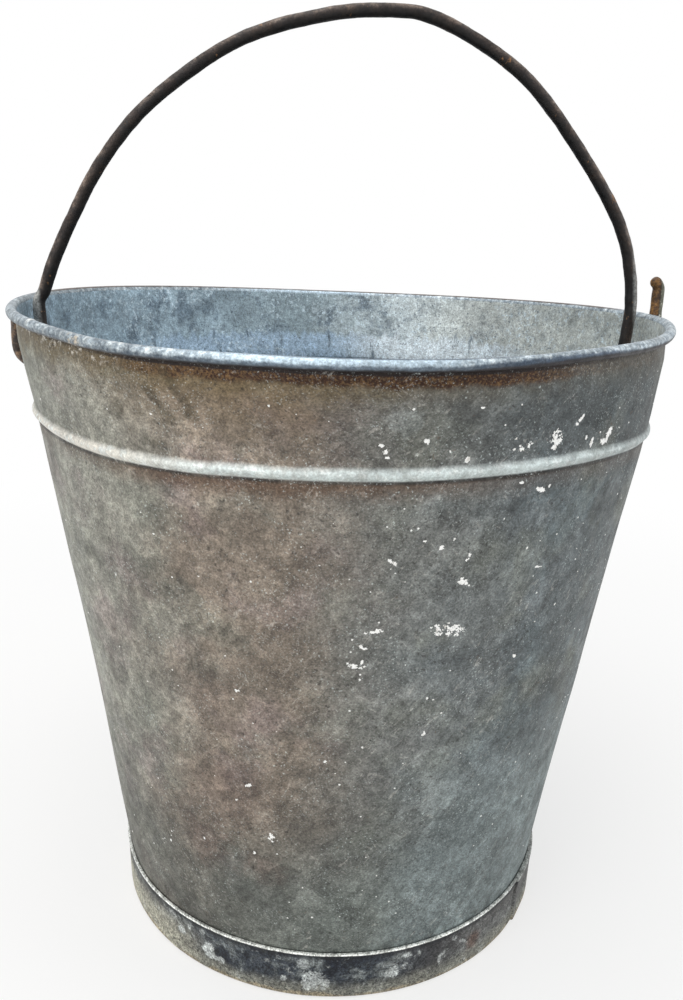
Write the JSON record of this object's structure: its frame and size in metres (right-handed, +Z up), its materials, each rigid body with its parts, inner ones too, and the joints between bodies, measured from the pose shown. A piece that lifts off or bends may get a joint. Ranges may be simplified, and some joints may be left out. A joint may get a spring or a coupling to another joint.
{
  "type": "metal bucket",
  "caption": "Weathered galvanised bucket with a wired rim, a swaged bead, a foot ring and a swinging iron bail.",
  "frame": {"origin": "on the floor, under the middle of the bucket", "axes": "+Z up along the bucket's axis, X through the bail's two holes, -Y the front"},
  "size_m": [0.314, 0.3044, 0.4335],
  "materials": {
    "weathered_zinc": "dull mottled galvanising, stained brown under the rim, with white paint specks",
    "rim_wire_steel": "plain drawn wire, hidden in the rolled rim",
    "bottom_zinc": "dull galvanising with dirt settled round the edge",
    "foot_ring_zinc": "dark stained galvanising with pale scuffs and an ochre lower edge",
    "rusty_iron": "dark brown rusted rod, rubbed paler on top"
  },
  "bodies": {
    "bucket": {"bucket_body": "weathered_zinc", "rim_wire": "rim_wire_steel", "bottom_disc": "bottom_zinc", "foot_ring": "foot_ring_zinc"},
    "bail": {"bail": "rusty_iron"}
  },
  "joints": [
    {"name": "bail_swing", "type": "hinge", "parent": "bucket", "child": "bail", "pos_m": [0, 0, 0.273], "axis": [1, 0, 0], "range_deg": [-40, 40]}
  ]
}
